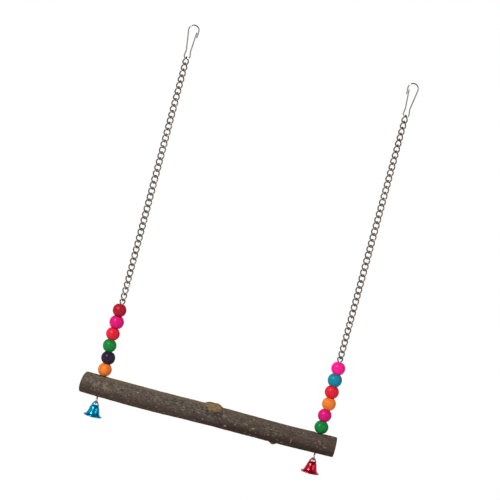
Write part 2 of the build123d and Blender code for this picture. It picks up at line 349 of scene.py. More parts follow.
class Nodes:
    """A tree of nodes. Each socket of a node is given a value or the output of another node."""

    def __init__(self, tree):
        self.tree = tree

    def add(self, kind, sockets, output=0, **settings):
        node = self.tree.nodes.new("ShaderNode" + kind)
        for key, value in settings.items():
            setattr(node, key, value)
        for key, value in sockets.items():
            self.plug(node.inputs[key], value)
        return node.outputs[output] if node.outputs else None

    def plug(self, socket, value):
        if isinstance(value, bpy.types.NodeSocket):
            self.tree.links.new(value, socket)
        else:
            socket.default_value = value

    def level(self, value, low, high, to_low=0.0, to_high=1.0):
        """A value between two levels carried over to two others, and held there beyond."""
        return self.add("MapRange", {"Value": value, 1: low, 2: high, 3: to_low, 4: to_high})

    def sum_of(self, way, *values):
        """The outcome of one kind of sum."""
        return self.add("Math", dict(enumerate(values)), operation=way)

    def times(self, first, second):
        return self.sum_of("MULTIPLY", first, second)

    def larger(self, first, second):
        return self.sum_of("MAXIMUM", first, second)


class Finish(Nodes):
    """A material."""

    def __init__(self, name):
        self.material = bpy.data.materials.new(name)
        self.material.use_nodes = True
        super().__init__(self.material.node_tree)
        self.shader = self.tree.nodes["Principled BSDF"]
        self.place = self.add("TexCoord", {}, "Object")

    def set(self, **sockets):
        """Values or outputs for the shader's own sockets."""
        for key, value in sockets.items():
            self.plug(self.shader.inputs[key.replace("_", " ")], value)

    def noise(self, cells, detail=4.0, rough=0.55, warp=0.0, at=(0, 0, 0)):
        """Noise from 0 to 1, with cells of that size in millimetres along X, Y and Z."""
        scale = [1 / (size * MM) for size in cells]
        place = self.add("Mapping", {"Vector": self.place, "Scale": scale, "Location": at})
        sockets = {"Vector": place, "Scale": 1.0, "Detail": detail, "Roughness": rough, "Distortion": warp}
        return self.add("TexNoise", sockets)

    def ramp(self, value, *stops):
        """A colour for each level of a value."""
        output = self.add("ValToRGB", {"Fac": value})
        ramp = output.node.color_ramp
        while len(ramp.elements) < len(stops):
            ramp.elements.new(1.0)
        for element, (place, colour) in zip(ramp.elements, stops):
            element.position = place
            element.color = colour
        return output

    def mix(self, share, first, second):
        """Two colours mixed."""
        return self.add("Mix", {0: share, 6: first, 7: second}, 2, data_type="RGBA")

    def marked(self, name):
        """A value that the mesh carries."""
        return self.add("Attribute", {}, "Fac", attribute_name=name)

    def over(self, body, name, share, colour):
        """A share of a colour laid over another where the mesh is marked."""
        return self.mix(self.times(self.marked(name), share), body, colour)

    def bump(self, height, depth, under=None):
        """Relief too fine for the mesh, with its depth in millimetres."""
        sockets = {"Height": height, "Strength": 1.0, "Distance": depth * MM}
        if under is not None:
            sockets["Normal"] = under
        return self.add("Bump", sockets, "Normal")


def dyed_wood(name, colour):
    """A turned wooden bead, dyed through and varnished."""
    finish = Finish(name)
    grain = finish.noise((1.8, 1.8, 8.0), detail=3, rough=0.5, warp=0.6)
    cloud = finish.noise((3.6, 3.6, 4.6), detail=2)
    pores = finish.level(finish.noise((0.4, 0.4, 1.2), detail=2), 0.62, 0.74)
    deep = tuple(part * 0.76 for part in colour[:3]) + (1,)
    pale = tuple(min(1, part * 1.1 + 0.006) for part in colour[:3]) + (1,)
    body = finish.ramp(grain, (0.28, deep), (0.5, colour), (0.8, pale))
    body = finish.mix(finish.level(cloud, 0.38, 0.68, 0.0, 0.4), body, pale)
    body = finish.mix(finish.times(pores, 0.08), body, deep)
    body = finish.over(body, "mouth", 0.6, deep)
    finish.set(Base_Color=body, IOR=1.45, Specular_IOR_Level=0.06, Coat_Weight=0.3, Coat_Roughness=0.3)
    finish.set(Roughness=finish.level(cloud, 0.3, 0.7, 0.5, 0.62))
    finish.set(Normal=finish.bump(grain, 0.004))
    return finish.material


def steel(name, bright, dull, roughness, wear):
    """Drawn wire with a thin plating, duller in patches and specks."""
    finish = Finish(name)
    cloud = finish.noise((4.0, 4.0, 4.0), detail=3, rough=0.5)
    specks = finish.level(finish.noise((0.3, 0.3, 0.3), detail=3), 0.58, 0.72)
    body = finish.ramp(cloud, (0.34, dull), (0.62, bright))
    if wear:
        body = finish.over(body, wear, 0.5, bright)
    body = finish.mix(finish.times(specks, 0.15), body, dull)
    finish.set(Base_Color=body, Metallic=1.0)
    finish.set(Roughness=finish.level(cloud, 0.3, 0.7, roughness * 1.15, roughness * 0.9))
    finish.set(Normal=finish.bump(finish.noise((0.5, 0.5, 0.5), detail=2), 0.002))
    return finish.material


def lacquered_bell(name, colour, deep):
    """Thin pressed metal under a clear coloured lacquer."""
    finish = Finish(name)
    cloud = finish.noise((2.1, 2.1, 2.8), detail=2, rough=0.5)
    brushed = finish.noise((1.4, 1.4, 0.14), detail=3)
    specks = finish.level(finish.noise((0.3, 0.3, 0.3), detail=2), 0.62, 0.74)
    body = finish.ramp(cloud, (0.3, deep), (0.62, colour))
    body = finish.mix(finish.times(specks, 0.3), body, deep)
    finish.set(Base_Color=body, Metallic=0.8, Coat_Weight=0.08, Coat_Roughness=0.08)
    finish.set(Roughness=finish.level(cloud, 0.3, 0.7, 0.26, 0.16))
    rippled = finish.bump(cloud, 0.2)
    finish.set(Normal=finish.bump(brushed, 0.004, rippled))
    return finish.material


RING_WAVES = 44.0


def bark_finish(name):
    """Smooth grey-brown bark of a young branch, with its scars and sawn ends."""
    finish = Finish(name)
    mottle = finish.noise((3.4, 1.1, 1.1), detail=5, rough=0.6, warp=0.3)
    fibres = finish.noise((2.4, 0.7, 0.7), detail=4, rough=0.6, warp=0.2)
    patches = finish.noise((14.0, 5.0, 5.0), detail=3, rough=0.6, at=(3, 1, 7))
    moss = finish.noise((10.0, 4.0, 4.0), detail=4, rough=0.65, at=(11, 5, 2))
    flecks = finish.level(finish.noise((0.9, 0.6, 0.6), detail=2, rough=0.6), 0.60, 0.72)
    body = finish.ramp(
        mottle,
        (0.28, tint(48, 41, 40)),
        (0.42, tint(73, 63, 57)),
        (0.58, tint(94, 83, 74)),
        (0.74, tint(124, 111, 98)),
    )
    body = finish.mix(finish.level(patches, 0.42, 0.66, 0.0, 0.5), body, tint(82, 64, 55))
    body = finish.mix(finish.level(moss, 0.50, 0.72, 0.0, 0.4), body, tint(98, 90, 66))
    body = finish.mix(finish.times(flecks, 0.5), body, tint(152, 140, 126))
    body = finish.mix(finish.level(fibres, 0.46, 0.37, 0.0, 0.7), body, tint(44, 38, 42))
    speckle = finish.noise((1.6, 0.9, 0.9), detail=2, rough=0.5, at=(4, 8, 1))
    flecked = finish.marked("flecked")
    dark_flecks = finish.times(flecked, finish.level(speckle, 0.46, 0.32, 0.0, 0.7))
    pale_flecks = finish.times(flecked, finish.level(speckle, 0.56, 0.70, 0.0, 0.55))
    # Painted light on the top of the bark, with some tan of its own, and lighter towards the left end
    body = finish.over(body, "painted_top_light_and_tan", 0.6, tint(117, 104, 78))
    # Painted shade, reddish, on the underside and the right end
    body = finish.over(body, "reddish_shade", 0.6, tint(80, 60, 50))
    # Painted shade on the underside and towards the right end
    body = finish.over(body, "shaded", 0.75, tint(48, 32, 25))
    body = finish.mix(dark_flecks, body, tint(42, 38, 44))
    body = finish.mix(pale_flecks, body, tint(136, 127, 120))
    # Painted shade in the cracks, folds and hollows, with a dark line beside the knot
    body = finish.over(body, "groove_shade_and_blot", 0.5, tint(40, 30, 26))
    body = finish.over(body, "pale", 0.68, tint(176, 156, 134))
    body = finish.over(body, "scrape", 0.5, tint(140, 125, 94))
    body = finish.over(body, "lichen", 0.75, tint(144, 122, 72))

    grain = finish.noise((2.6, 0.6, 0.6), detail=5, rough=0.65, at=(2, 9, 4))
    blots = finish.noise((2.2, 1.2, 1.2), detail=4, rough=0.65, at=(6, 3, 8))
    raw = finish.ramp(grain, (0.26, tint(96, 68, 44)), (0.46, tint(136, 103, 69)), (0.72, tint(158, 125, 86)))
    raw = finish.mix(finish.level(blots, 0.48, 0.64, 0.0, 0.75), raw, tint(106, 70, 44))
    raw = finish.mix(finish.level(fibres, 0.46, 0.36, 0.0, 0.4), raw, tint(70, 48, 33))
    raw = finish.over(raw, "weathered", 0.75, tint(116, 100, 70))
    body = finish.mix(finish.marked("raw"), body, raw)
    body = finish.over(body, "stain", 0.8, tint(66, 38, 24))

    rings = finish.sum_of("SINE", finish.times(finish.marked("ring"), RING_WAVES))
    sawn = finish.ramp(
        finish.level(rings, -1.0, 1.0),
        (0.1, tint(176, 142, 100)),
        (0.6, tint(206, 176, 132)),
        (1.0, tint(150, 114, 76)),
    )
    sawn = finish.mix(finish.level(blots, 0.46, 0.7, 0.0, 0.5), sawn, tint(134, 106, 78))
    # Painted shade in the drying cracks of the sawn end
    sawn = finish.over(sawn, "groove_shade_and_blot", 0.85, tint(60, 42, 30))
    body = finish.mix(finish.marked("sawn"), body, sawn)

    finish.set(Base_Color=body, IOR=1.45, Specular_IOR_Level=0.22)
    finish.set(Roughness=finish.level(mottle, 0.3, 0.7, 0.92, 0.74))
    rough = finish.bump(mottle, 0.14)
    finish.set(Normal=finish.bump(fibres, 0.06, rough))
    return finish.material


DYES = {
    "dyed_crimson": (172, 10, 38),
    "dyed_magenta": (212, 0, 112),
    "dyed_red": (220, 24, 50),
    "dyed_green": (0, 126, 52),
    "dyed_purple": (42, 26, 52),
    "dyed_orange": (232, 120, 38),
    "dyed_pink": (250, 12, 138),
    "dyed_teal": (0, 130, 152),
}
STEELS = {
    "clip_steel": ((196, 191, 179), (176, 170, 157), 0.22, None),
    "chain_steel": ((158, 143, 127), (114, 101, 88), 0.42, "wear"),
    "wire_steel": ((160, 156, 150), (122, 118, 111), 0.4, None),
}
LACQUERS = {
    "bell_blue": ((0, 186, 232), (0, 116, 172)),
    "bell_red": ((234, 36, 58), (168, 15, 36)),
}
FINISHES = {slot: dyed_wood(slot, tint(*colour)) for slot, colour in DYES.items()}
FINISHES["bark"] = bark_finish("bark")
for slot, (bright, dull, roughness, wear) in STEELS.items():
    FINISHES[slot] = steel(slot, tint(*bright), tint(*dull), roughness, wear)
for slot, (colour, deep) in LACQUERS.items():
    FINISHES[slot] = lacquered_bell(slot, tint(*colour), tint(*deep))

# Clips: the bow, fixed leg and toe are one wire, and the gate goes on from the toe's end
bow_lean = tangent_lean(BOW_RADIUS, WAIST_ACROSS, BOW_Z - WAIST_Z)
tail_lean = bow_lean * TAIL_LEAN_SHARE
toe_lean = tangent_lean(TOE_RADIUS, WAIST_ACROSS, WAIST_Z - TOE_Z)
tail_way = (-sin(radians(tail_lean)), -cos(radians(tail_lean)))
bow = arc((0, BOW_Z), BOW_RADIUS, -tail_lean, 180 + tail_lean + bow_lean)
toe = arc((0, TOE_Z), TOE_RADIUS, 180 - toe_lean, 180 + 2 * toe_lean)
tail_foot = bow[0] + TAIL_LENGTH * np.array(tail_way)
fixed_leg = bent([bow[-1], (-WAIST_ACROSS, WAIST_Z), toe[0]], WAIST_BEND)
hook_path = even(np.concatenate([[tail_foot], bow, fixed_leg, toe]))
latch_foot = tail_foot + GATE_OFFSET * np.array((tail_way[1], -tail_way[0]))
latch_tip = latch_foot - LATCH_LENGTH * np.array(tail_way)
gate_path = even(bent([toe[-1], (WAIST_ACROSS, WAIST_Z), latch_foot, latch_tip], WAIST_BEND, GATE_BEND))
for side_name, side in SIDES.items():
    x = side * HALF_SPACING
    path = facing(gate_path, x, 0, -side)
    onward = unit(path[1] - path[0])
    hook = facing(hook_path, x, 0, -side)
    wire = tube(hook, HOOK_WIRE / 2, CLIP_SIDES, aside=(0, 1, 0), goes_on=(None, onward))
    piece(f"{side_name}_clip_wire", "hooks", f"{side_name}_hook", "clip_steel", wire)
    wire = tube(path, HOOK_WIRE / 2, CLIP_SIDES, aside=(0, 1, 0), goes_on=(onward, None))
    gate = piece(f"{side_name}_clip_gate", None, f"{side_name}_gate", "clip_steel", wire)
    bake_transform(gate)

# Chain: ovals of wire twisted about the chain's line, each with a seam where its ends meet
LINK_STEPS = 56
LINK_SIDES = 14
SEAM_SWELL = 0.86
CHAIN_RUNS = {
    "top_link": range(1),
    "chain": range(1, LINK_COUNT - 1),
    "bottom_link": range(LINK_COUNT - 1, LINK_COUNT),
}


def link(turn_degrees, centre, seam_step):
    """One link, and how much its ends are rubbed bright."""
    turn = full_turn(LINK_STEPS)
    lean = radians(LINK_TWIST) / 2 * np.cos(turn) + radians(turn_degrees)
    across = np.stack([np.cos(lean), np.sin(lean), np.zeros(LINK_STEPS)], -1)
    aside = np.stack([-np.sin(lean), np.cos(lean), np.zeros(LINK_STEPS)], -1)
    path = across * (LINK_HALF_WIDTH * np.sin(turn))[:, None]
    path[:, 2] = LINK_HALF_LENGTH * np.cos(turn)
    swell = np.ones(LINK_STEPS)
    swell[seam_step] = SEAM_SWELL
    parts = tube(path + np.asarray(centre), LINK_WIRE / 2, LINK_SIDES, True, aside, swell)
    return parts, np.repeat(smooth(0.72, 0.98, np.abs(np.cos(turn))), LINK_SIDES)


for side_name, side in SIDES.items():
    for run_name, steps in CHAIN_RUNS.items():
        made = []
        for step in steps:
            run_turn = CHAIN_TURN / 2 - CHAIN_TURN * step / (LINK_COUNT - 1)
            centre = (side * HALF_SPACING, 0, FIRST_LINK_Z - step * LINK_PITCH)
            seam = LINK_STEPS // 4 + (step * 5) % 3 - 1
            made.append(link(run_turn, centre, seam))
        node = f"{side_name}_{run_name}"
        wear = np.concatenate([rubbed for parts, rubbed in made])
        parts = join(*(parts for parts, rubbed in made))
        piece(f"{node}_wire", node, node, "chain_steel", parts, {"wear": wear})


# Wires with a teardrop eye at each end, their tails tucked back beside the stem
EYE_STEP = 0.3


def eye_path(height):
    """Half of a wire: its tail, its eye and the start of its stem, with the mouth of the eye at zero."""
    mouth = EYE_WIRE / 2
    drop = height - mouth - EYE_RADIUS
    lean = tangent_lean(EYE_RADIUS, mouth, drop)
    touch_x, touch_z = EYE_RADIUS * cos(radians(lean)), drop - EYE_RADIUS * sin(radians(lean))
    tail = bent([(mouth, -EYE_TAIL), (mouth, 0), (touch_x, touch_z)], EYE_BEND)
    corners = [(-touch_x, touch_z), (-mouth, 0), (-mouth, -EYE_TAIL)]
    corners += [(0, -EYE_TAIL - STEM_JOG), (0, -EYE_TAIL - 2 * STEM_JOG)]
    stem = bent(corners, EYE_BEND, EYE_BEND, EYE_BEND)
    eye = arc((0, drop), EYE_RADIUS, -lean, 180 + 2 * lean)
    return np.concatenate([tail, eye[1:], stem[1:]])


upper_path, lower_path = (eye_path(EYE_HEIGHTS[end]) for end in ("upper", "lower"))
bead_top_z = PIVOT["perch_tilt"][2] + EYE_WIRE / 2 - EYE_HEIGHTS["upper"]
for side_name, side in SIDES.items():
    x = side * HALF_SPACING
    floor_z = PIVOT[f"{side_name}_bell_swing"][2] - EYE_WIRE / 2 + EYE_HEIGHTS["lower"]
    upper = facing(upper_path, x, bead_top_z)
    lower = np.stack([np.full(len(lower_path), x), -lower_path[:, 0], floor_z - lower_path[:, 1]], -1)
    path = even(np.concatenate([upper, lower[::-1]]), EYE_STEP)
    piece(f"{side_name}_eye_pin", "perch", f"{side_name}_eye_wire", "wire_steel", tube(path, EYE_WIRE / 2))

# Beads: turned balls with flat drilled ends, none of them quite true
BEAD_SIDES = 72
BEAD_STEP = 3
BEAD_MOUTH = 0.3
BEAD_EDGE = 1.5
BEAD_CREASE = 50
# Size and height of the unevenness of a bead
BEAD_BULGE = (4.5, 0.06)
BEAD_GRAIN = (1.6, 0.012)
BEAD_DYES = {
    "left": ("crimson", "magenta", "red", "green", "purple", "orange"),
    "right": ("pink", "teal", "red", "orange", "magenta", "green"),
}
for side_name, dyes in BEAD_DYES.items():
    for row, dye in enumerate(dyes):
        node = f"{side_name}_bead_{row + 1}"
        low, high = (np.array(corner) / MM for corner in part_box(node))
        centre, half = (low + high) / 2, (high[2] - low[2]) / 2
        ball, bore = (high[0] - low[0]) / 2, BEAD_HOLE / 2
        edge = degrees(asin(half / ball)) - BEAD_EDGE
        outside = arc((0, 0), ball, -edge, 2 * edge, BEAD_STEP)
        lips = arc((bore + BEAD_MOUTH, half - BEAD_MOUTH), BEAD_MOUTH, 90, 90)
        hole = [(bore, half / 3), (bore, -half / 3)]
        profile = np.concatenate([outside, lips, hole, lips[::-1] * (1, -1)])
        points, faces = lathe(profile, BEAD_SIDES, (0, 0, 0), True)
        seed = 20 + row + 10 * SIDES[side_name]
        (bulge_size, bulge_height), (grain_size, grain_height) = BEAD_BULGE, BEAD_GRAIN
        bulge = lattice_noise(points / bulge_size, seed) * bulge_height
        bulge += lattice_noise(points / grain_size, seed + 1) * grain_height
        off_axis = np.hypot(points[:, 0], points[:, 1])
        skin = smooth(bore + 0.3, bore + 1.2, off_axis)
        points = points * (1 + bulge * skin / ball)[:, None]
        mouths = {"mouth": 1 - smooth(bore + 0.05, bore + 0.75, off_axis)}
        piece(f"{node}_ball", node, node, f"dyed_{dye}", (points + centre, faces), mouths, BEAD_CREASE)


# Perch: the solid's own outline, with bark, scars and sawn ends worked into it
PERCH_ROWS = 780
PERCH_SIDES = 224
PERCH_CREASE = 60
CAP_RINGS = 30
CAST_STEP = 0.5
CAST_SPAN = 103
CAST_ANGLES = 180
CAST_REACH = 14.0
CAST_INSET = 0.4
WIDEST_SHARE = 1.06
HOLE_NEAR = 2.4
HOLE_CLEAR = 2.5
PORE_COUNT = 420
PORE_SPAN = 97
PORE_NEAR = 3
# Ovals on the bark: place along the branch, degrees round it, length and width
BUD_OVAL = (BUD["x"], BUD["turn"], 3.4, 2.6)
SCRAPE_OVAL = (-82.4, 11, 3.0, 7.6)
LICHEN_DOT = (35.4, -5, 1.8, 1.8)
LICHEN_STREAK = (65.4, -20, 1.2, 3.8)
LICHEN_BITE = (64.7, -20, 1.3, 2.8)
SEAT_SIZE = (8.0, 6.0)
SEAT_DEPTH = 0.14
EDGE_WEAR = 0.6
EDGE_WEAR_REACH = 1.2
# Drying cracks in a sawn end: heading, length as a share of the radius, and width
END_CRACKS = ((62, 0.82, 2.6), (171, 0.55, 2.0), (288, 0.7, 2.2), (20, 0.4, 1.7))
END_CRACK_TURN = 40


def cut_x(side, y, up):
    """Where the sawn end lies, at a place across the branch measured from its axis."""
    turn, lean = (tan(radians(angle)) for angle in CUTS[side])
    return side * (PERCH_HALF_LENGTH - turn * y - lean * up)


def hump(value, width=1.0):
    """1 at zero, falling off alike on both sides."""
    return np.exp(-((value / width) ** 2))


def degrees_from(around, turn):
    """Degrees round the branch from a heading, -180 to 180."""
    return (np.degrees(around) - turn + 180) % 360 - 180


def blurred(grid, cells, axis):
    """A grid of levels evened out along one axis; the second axis wraps round."""
    reach = int(3 * cells)
    steps = np.arange(-reach, reach + 1)
    weights = np.exp(-0.5 * (steps / cells) ** 2)
    margins = [(reach, reach) if axis == a else (0, 0) for a in (0, 1)]
    padded = np.pad(grid, margins, mode="wrap" if axis else "edge")
    total = sum(
        weight * np.take(padded, np.arange(grid.shape[axis]) + reach + step, axis)
        for step, weight in zip(steps, weights)
    )
    return total / weights.sum()


def cast_outline():
    """Places along the branch, and how far the solid reaches there at even angles round it."""
    mesh = frame["nodes"]["perch"].data
    tree = BVHTree.FromPolygons([v.co for v in mesh.vertices], [p.vertices[:] for p in mesh.polygons])
    places = np.arange(-CAST_SPAN, CAST_SPAN + CAST_STEP, CAST_STEP)
    angles = full_turn(CAST_ANGLES)
    reach = np.zeros((len(places), len(angles)))
    for column, angle in enumerate(angles):
        out = Vector((0, -cos(angle), sin(angle)))
        across = WIDEST_SHARE * PERCH_RADIUS * np.array((-cos(angle), sin(angle)))
        first, last = cut_x(-1, *across) + CAST_INSET, cut_x(1, *across) - CAST_INSET
        for row, place in enumerate(places):
            place = min(max(place, first), last)
            for side in (-1, 1):
                if abs(place - side * HALF_SPACING) < HOLE_NEAR:
                    place = side * (HALF_SPACING - HOLE_CLEAR)
            start = Vector((place, 0, PERCH_Z)) + out * CAST_REACH
            hit = tree.ray_cast(start * MM, -out)
            reach[row, column] = CAST_REACH - hit[3] / MM
    return places, blurred(blurred(reach, 1.3, 0), 1.6, 1)


def outline_at(along, around, places, outline):
    """How far the solid reaches at places along the branch and angles round it."""
    wrapped = np.concatenate([outline, outline[:, :1]], 1)
    row = np.clip((along - places[0]) / CAST_STEP, 0, len(places) - 1.001)
    column = around / (2 * pi) * CAST_ANGLES
    low, left = np.floor(row).astype(int), np.floor(column).astype(int)
    part_row, part_column = row - low, column - left
    return (
        wrapped[low, left] * (1 - part_row) * (1 - part_column)
        + wrapped[low + 1, left] * part_row * (1 - part_column)
        + wrapped[low, left + 1] * (1 - part_row) * part_column
        + wrapped[low + 1, left + 1] * part_row * part_column
    )


def between_cuts(reach, level_y, level_z):
    """Both sawn ends, and the rows of the branch spread evenly between them."""
    first, last = (cut_x(side, reach * level_y, reach * level_z) for side in (-1, 1))
    return first, last, first + (last - first) * np.linspace(0, 1, PERCH_ROWS)[:, None]


def spot(along, around, x, turn, length, width, edge=0.35):
    """1 inside an oval on the bark, fading to 0 over its edge; its length runs along the branch."""
    arc_length = np.radians(degrees_from(around, turn)) * PERCH_RADIUS
    far = np.hypot((along - x) / (length / 2), arc_length / (width / 2))
    return 1 - smooth(1 - edge, 1 + edge, far)


def breathing_pores(along, around):
    """Pale raised dots, scattered all over the bark."""
    picks = np.random.default_rng(12)
    pores = np.zeros(around.shape)
    for _ in range(PORE_COUNT):
        x, turn = picks.uniform(-PORE_SPAN, PORE_SPAN), picks.uniform(-180, 180)
        size = picks.uniform(0.5, 1.0) * (1.5 if picks.uniform() < 0.1 else 1)
        bright = picks.uniform(0.3, 1.0)
        length = size * picks.uniform(0.9, 1.9)
        near = np.abs(along[:, 0] - x) < PORE_NEAR
        dot = bright * spot(along[near], around[near], x, turn, length, size, 0.5)
        pores[near] = np.maximum(pores[near], dot)
    return pores


def sawn_face(side, turn, edge):
    """A sawn end from inside its rim to its pith, and its marks: rings of growth and drying cracks."""
    shares = np.linspace(1, 0, CAP_RINGS + 1)[1:-1, None]
    y, up = shares * edge * -np.cos(turn), shares * edge * np.sin(turn)
    flat = np.stack([y, up, np.full(y.shape, 7.0 * side)], -1)
    split = np.zeros(y.shape)
    for heading, longest, wide in END_CRACKS:
        aim = heading + END_CRACK_TURN * (side > 0)
        off = degrees_from(turn, aim - 9 * shares * lattice_noise(flat / 3, 18))
        width = np.maximum(wide * (1 - shares / longest), 0.05)
        split = np.maximum(split, hump(off * shares * 2, width) * (shares < longest))
    saw_marks = np.sin((y * 0.8 + up * 0.6) * 5 + lattice_noise(flat / 4, 19)) * 0.03
    step = saw_marks + lattice_noise(flat / 1.1, 20) * 0.035
    x = cut_x(side, y, up) + side * (step - 0.45 * split - 0.05)
    points = np.stack([x, y, PERCH_Z + up], -1).reshape(-1, 3)
    marks = {
        "sawn": smooth(1.0, 0.955, shares),
        "ring": shares + 0.05 * lattice_noise(flat / 3.5, 21),
        # Painted shade in the drying cracks
        "groove_shade_and_blot": split,
    }
    pith = (cut_x(side, 0, 0), 0, PERCH_Z)
    flat_marks = {key: np.broadcast_to(value, y.shape).reshape(-1) for key, value in marks.items()}
    return np.concatenate([points, [pith]]), flat_marks


def sawn_faces(side, edge_row, start):
    """The faces of a sawn end, whose points begin at a given number, with its pith last."""
    numbers = np.arange(PERCH_SIDES)
    rows = [edge_row * PERCH_SIDES + numbers]
    rows += [start + ring * PERCH_SIDES + numbers for ring in range(CAP_RINGS - 1)]
    pole = start + (CAP_RINGS - 1) * PERCH_SIDES
    faces = []
    for outer, inner in zip(rows, rows[1:]):
        faces += zip(outer.tolist(), np.roll(outer, -1).tolist(), np.roll(inner, -1).tolist(), inner.tolist())
    faces += zip(rows[-1].tolist(), np.roll(rows[-1], -1).tolist(), [pole] * PERCH_SIDES)
    return faces if side < 0 else [face[::-1] for face in faces]


def make_perch():
    """The branch's points and faces, and the marks on it that its finish reads."""
    places, outline = cast_outline()
    turns = full_turn(PERCH_SIDES)
    around = np.broadcast_to(turns, (PERCH_ROWS, PERCH_SIDES))
    level_y, level_z = -np.cos(around), np.sin(around)
    reach = np.full(around.shape, PERCH_RADIUS)
    for _ in range(2):
        first, last, along = between_cuts(reach, level_y, level_z)
        reach = outline_at(along, around, places, outline)
    place = np.stack([along, reach * level_y, reach * level_z], -1)

    def noise(cells, seed, at=place):
        return lattice_noise(at / cells, seed)

    def oval(where, edge):
        return spot(along, around, *where, edge)

    # Long shallow cracks between low plates, and fibres finer than both
    wander = np.stack([0 * along, noise((11, 5, 5), 3), noise((11, 5, 5), 4)], -1)
    bent_place = place + wander * 0.8
    crack = 1 - smooth(0.0, 0.13, np.abs(noise((7.5, 1.7, 1.7), 5, bent_place)))
    crack *= smooth(-0.1, 0.5, noise((13, 4, 4), 6))
    thread = 1 - smooth(0.0, 0.22, np.abs(noise((3.2, 0.8, 0.8), 7, bent_place)))
    thread *= smooth(-0.3, 0.4, noise((7, 3, 3), 8))
    plates = noise((20, 4.5, 4.5), 9) * 0.15 + noise((5, 2, 2), 10) * 0.07
    pits = noise((1.4, 0.9, 0.9), 11) * 0.05
    pores = breathing_pores(along, around) * smooth(-0.6, 0.3, noise(0.5, 22))

    # The pruned side branch: a spindle of bare wood with worn rings, under a lip of grown-over bark
    knot_x = along - KNOT["x"]
    over = np.radians(degrees_from(around, KNOT["turn"])) * PERCH_RADIUS
    uneven = 1 + 0.16 * noise((2.6, 2.0, 2.0), 13) + 0.24 * noise((1.4, 1.0, 1.0), 23)
    knot_far = (np.abs(knot_x / 6.2) ** 3 + np.abs(over / 3.4) ** 3) ** (1 / 3) * uneven
    raw = 1 - smooth(0.88, 1.06, knot_far)
    lip = hump(knot_far - 1.14, 0.13)
    crest = hump(over - 3.4, 3.4) * smooth(-8.0, -2.5, along) * smooth(10.0, 5.5, along)
    worn = raw * (noise((2.2, 0.8, 0.8), 14) * 0.16 + np.sin(knot_far * 26) * 0.05)
    pith = hump(np.hypot((knot_x - 1) / 2.4, (over + 0.3) / 0.4))
    stain = smooth(1.5, 2.4, over) * smooth(6.0, 4.5, over)
    stain *= smooth(-5.5, -3.0, along) * smooth(9.5, 6.5, along)
    weathered = smooth(1.5, -3.5, knot_x + 1.6 * noise((2.0, 1.2, 1.2), 24))
    blot = hump(over + 4.6, 1.2) * smooth(-4.0, -1.0, along) * smooth(9.0, 6.0, along)
    blot *= smooth(-0.25, 0.25, noise((1.5, 0.8, 0.8), 25))

    # A bud scar with a fold round it, a scrape and two growths of lichen
    bud_raw = 0.7 * oval(BUD_OVAL, 0.5)
    bud_over = np.radians(degrees_from(around, BUD["turn"])) * PERCH_RADIUS
    bud_fold = hump(np.hypot((along - BUD["x"]) / 4.2, bud_over / 3.0) - 1, 0.2)
    scrape = oval(SCRAPE_OVAL, 0.7) * smooth(-0.5, 0.2, noise((1.2, 1.2, 1.2), 15))
    streak = oval(LICHEN_STREAK, 0.5) * (1 - oval(LICHEN_BITE, 0.4))
    lichen = np.maximum(oval(LICHEN_DOT, 0.5), streak)
    bare = np.maximum(raw, bud_raw)
    rind = 1 - bare

    # How the bark's colour goes from top to underside and from end to end: painted light on the top, partly
    # the bark's own tan, lighter towards the left end, and painted shade, darker and redder, on the underside
    # and towards the right end
    under = smooth(-0.05, 0.6, -level_z + 0.22 * noise((9, 3, 3), 17))
    sunny = smooth(0.55, 1.0, level_z + 0.12 * noise((9, 3, 3), 16))
    middle = smooth(0.5, 0.2, level_z) * (1 - under)
    # Painted shade: the underside darker, more so towards the right, and the right end darker in its middle
    # and on top
    shaded = under * (0.35 + 0.65 * smooth(-45, 30, along)) + 0.42 * smooth(40, 80, along) * middle
    shaded = np.maximum(shaded, 0.16 * smooth(-5, 25, along) + 0.25 * smooth(75, 95, along) * sunny)
    shaded = shaded + 0.3 * hump(along - 18, 12) * under
    flecked = smooth(-0.35, 0.1, level_z) * smooth(1.0, 0.8, level_z) * (1 - 0.6 * smooth(0, 40, along))
    # How strongly the top is painted lighter along the branch, with a yellower patch left of the middle
    top_light_and_tan_share = 0.83 - 0.5 * smooth(0, 60, along) - 0.35 * smooth(-80, -95, along)
    top_light_and_tan_share = top_light_and_tan_share + 0.6 * hump(along + 13, 8)
    lighter_left_end = 0.25 * smooth(-40, -85, along) * smooth(-0.3, 0.1, level_z) * (1 - sunny)
    painted_top_light_and_tan = sunny * top_light_and_tan_share + lighter_left_end
    # Painted reddish shade on the underside and towards the right end
    warm = np.maximum(middle, 0.7 * smooth(75, 92, along))
    reddish_shade = np.maximum(under, 0.85 * smooth(45, 80, along) * warm)

    # Relief: the bark's own, worn ends, a trim to the photographed edges, and a seat for each lowest bead
    end_gap = np.minimum(along - first, last - along)
    edge_share = np.clip(1 - end_gap / EDGE_WEAR_REACH, 0, 1)
    worn_edge = EDGE_WEAR * (1 - np.sqrt(1 - edge_share**2))
    above, beneath = smooth(0.5, 1.0, level_z), smooth(0.5, 1.0, -level_z)
    trim_top = 0.24 * smooth(-12, -26, along) * above
    trim_foot = 0.3 * smooth(-60, -44, along) * smooth(-8, -16, along) + 0.16 * smooth(12, 20, along)
    relief = (
        rind * (plates + pits - 0.17 * crack - 0.08 * thread)
        + 0.16 * pores + 0.2 * lip + 0.7 * crest + worn - 0.5 * raw * pith
        - 0.18 * bud_fold + 0.12 * lichen - worn_edge - trim_top - trim_foot * beneath + 0.05
    )
    seat = sum(oval((side * HALF_SPACING, 90, *SEAT_SIZE), 0.3) for side in SIDES.values())
    reach = reach + relief * (1 - seat) - SEAT_DEPTH * seat
    along = between_cuts(reach, level_y, level_z)[2]
